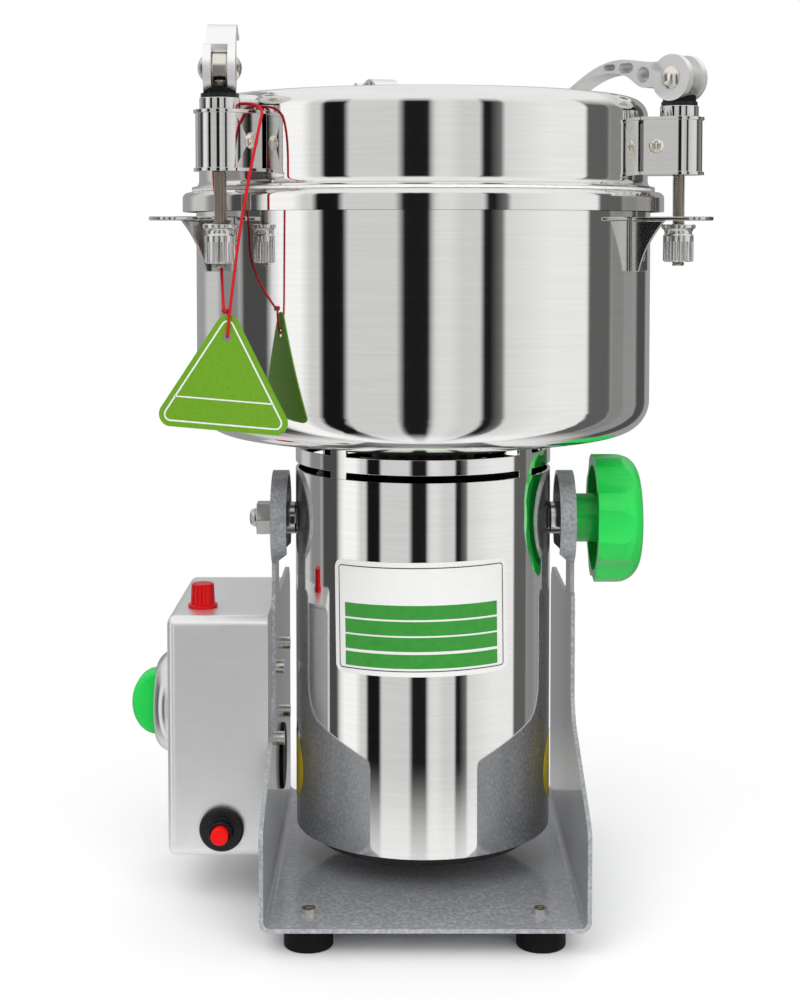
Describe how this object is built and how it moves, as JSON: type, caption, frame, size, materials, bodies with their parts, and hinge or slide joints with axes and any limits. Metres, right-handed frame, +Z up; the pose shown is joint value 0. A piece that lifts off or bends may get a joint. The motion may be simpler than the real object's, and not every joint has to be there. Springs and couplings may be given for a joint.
{
  "type": "swing powder grinder",
  "caption": "Tilting electric grinder for spices: steel bowl with clamped lid and blades on a motor held in a bent bracket with a control box and rubber feet.",
  "frame": {"origin": "on the bench, on the motor's axis", "axes": "+Z up along the motor's axis at rest, -Y the front, +X towards the clamp knob"},
  "size_m": [0.3082, 0.2906, 0.4648],
  "materials": {
    "hammer_grey": "hammer tone paint",
    "box_silver": "satin silver",
    "polished_steel": "polished",
    "satin_steel": "satin",
    "zinc_screw": "zinc plated",
    "black_rubber": "matt",
    "white_seal": "matt",
    "black_plastic": "satin",
    "green_plastic": "gloss",
    "red_lens": "gloss",
    "red_plastic": "gloss",
    "lamination": "varnished",
    "copper": "enamelled wire",
    "cast_aluminium": "as cast",
    "lever_aluminium": "satin",
    "carbon": "matt",
    "tag_card": "satin",
    "red_string": "twisted"
  },
  "bodies": {
    "base": {"tilt_bracket": "hammer_grey", "rubber_feet": "black_rubber", "foot_washers": "black_rubber", "foot_screws": "zinc_screw", "control_box_shell": "box_silver", "control_box_cover": "box_silver", "box_screws": "zinc_screw", "cable_grommet": "black_rubber", "pilot_lamp": "red_lens", "breaker_body": "black_plastic", "breaker_bezel": "black_plastic", "timer_body": "black_plastic", "mains_gland": "black_plastic"},
    "timer_knob": {"timer_skirt": "satin_steel", "timer_grip": "green_plastic"},
    "reset": {"reset_button": "red_plastic"},
    "head": {"motor_shell": "polished_steel", "vent_collar": "polished_steel", "bottom_cover": "black_plastic", "upper_end_bell": "cast_aluminium", "lower_end_bell": "cast_aluminium", "stator_core": "lamination", "field_windings": "copper", "motor_bearings": "satin_steel", "brush_holders": "cast_aluminium", "carbon_brushes": "carbon", "pivot_bolt": "satin_steel", "pivot_nuts": "satin_steel", "pivot_spacers": "satin_steel", "bowl": "polished_steel", "bowl_screws": "zinc_screw", "latch_brackets": "satin_steel", "shaft_seal": "black_rubber"},
    "clamp": {"clamp_knob": "green_plastic"},
    "rotor": {"motor_shaft": "satin_steel", "armature_core": "lamination", "armature_windings": "copper", "commutator": "copper", "cooling_fan": "black_plastic", "lower_blade": "satin_steel", "blade_spacer": "satin_steel", "upper_blade": "satin_steel", "blade_nut": "satin_steel"},
    "lid": {"lid_shell": "polished_steel", "lid_seal": "white_seal", "latch_housings": "satin_steel", "housing_screws": "zinc_screw", "neck_spacers": "satin_steel", "saddle_washers": "black_plastic", "hang_tag": "tag_card", "tag_string": "red_string"},
    "rod_left": {"latch_rod_left": "satin_steel"},
    "lever_left": {"cam_lever_left": "lever_aluminium"},
    "nut_left": {"knurled_nut_left": "satin_steel"},
    "rod_right": {"latch_rod_right": "satin_steel"},
    "lever_right": {"cam_lever_right": "lever_aluminium"},
    "nut_right": {"knurled_nut_right": "satin_steel"},
    "rod_rear": {"latch_rod_rear": "satin_steel"},
    "lever_rear": {"cam_lever_rear": "lever_aluminium"},
    "nut_rear": {"knurled_nut_rear": "satin_steel"}
  },
  "joints": [
    {"name": "tilt", "type": "hinge", "parent": "base", "child": "head", "pos_m": [0, 0, 0.2027], "axis": [1, 0, 0], "range_deg": [0, 90]},
    {"name": "rotor_spin", "type": "hinge", "parent": "head", "child": "rotor", "pos_m": [0, 0, 0.14], "axis": [0, 0, 1], "continuous": true},
    {"name": "lid_lift", "type": "slide", "parent": "head", "child": "lid", "axis": [0, 0, 1], "range_m": [0, 0.12]},
    {"name": "clamp_turn", "type": "hinge", "parent": "head", "child": "clamp", "pos_m": [0, 0, 0.2027], "axis": [1, 0, 0], "continuous": true},
    {"name": "timer_turn", "type": "hinge", "parent": "base", "child": "timer_knob", "pos_m": [-0.14, 0.0115, 0.09819], "axis": [-1, 0, 0], "range_deg": [-300, 0]},
    {"name": "reset_press", "type": "slide", "parent": "base", "child": "reset", "axis": [0, 1, 0], "range_m": [0, 0.0035], "stiffness_N_per_m": 800},
    {"name": "rod_swivel_left", "type": "hinge", "parent": "lid", "child": "rod_left", "pos_m": [-0.10046, -0.09534, 0.4388], "axis": [0, 0, 1], "continuous": true},
    {"name": "lever_flip_left", "type": "hinge", "parent": "rod_left", "child": "lever_left", "pos_m": [-0.10046, -0.09534, 0.4388], "axis": [0.9981, 0.061, 0], "range_deg": [-21.5, 128.5]},
    {"name": "nut_spin_left", "type": "hinge", "parent": "rod_left", "child": "nut_left", "pos_m": [-0.10046, -0.09534, 0.353], "axis": [0, 0, 1], "continuous": true},
    {"name": "rod_swivel_right", "type": "hinge", "parent": "lid", "child": "rod_right", "pos_m": [0.1328, -0.03934, 0.4388], "axis": [0, 0, 1], "continuous": true},
    {"name": "lever_flip_right", "type": "hinge", "parent": "rod_right", "child": "lever_right", "pos_m": [0.1328, -0.03934, 0.4388], "axis": [0.7193, 0.6947, 0], "range_deg": [0, 150]},
    {"name": "nut_spin_right", "type": "hinge", "parent": "rod_right", "child": "nut_right", "pos_m": [0.1328, -0.03934, 0.353], "axis": [0, 0, 1], "continuous": true},
    {"name": "rod_swivel_rear", "type": "hinge", "parent": "lid", "child": "rod_rear", "pos_m": [-0.03233, 0.13467, 0.4388], "axis": [0, 0, 1], "continuous": true},
    {"name": "lever_flip_rear", "type": "hinge", "parent": "rod_rear", "child": "lever_rear", "pos_m": [-0.03233, 0.13467, 0.4388], "axis": [-0.9724, -0.2334, 0], "range_deg": [0, 150]},
    {"name": "nut_spin_rear", "type": "hinge", "parent": "rod_rear", "child": "nut_rear", "pos_m": [-0.03233, 0.13467, 0.353], "axis": [0, 0, 1], "continuous": true}
  ]
}
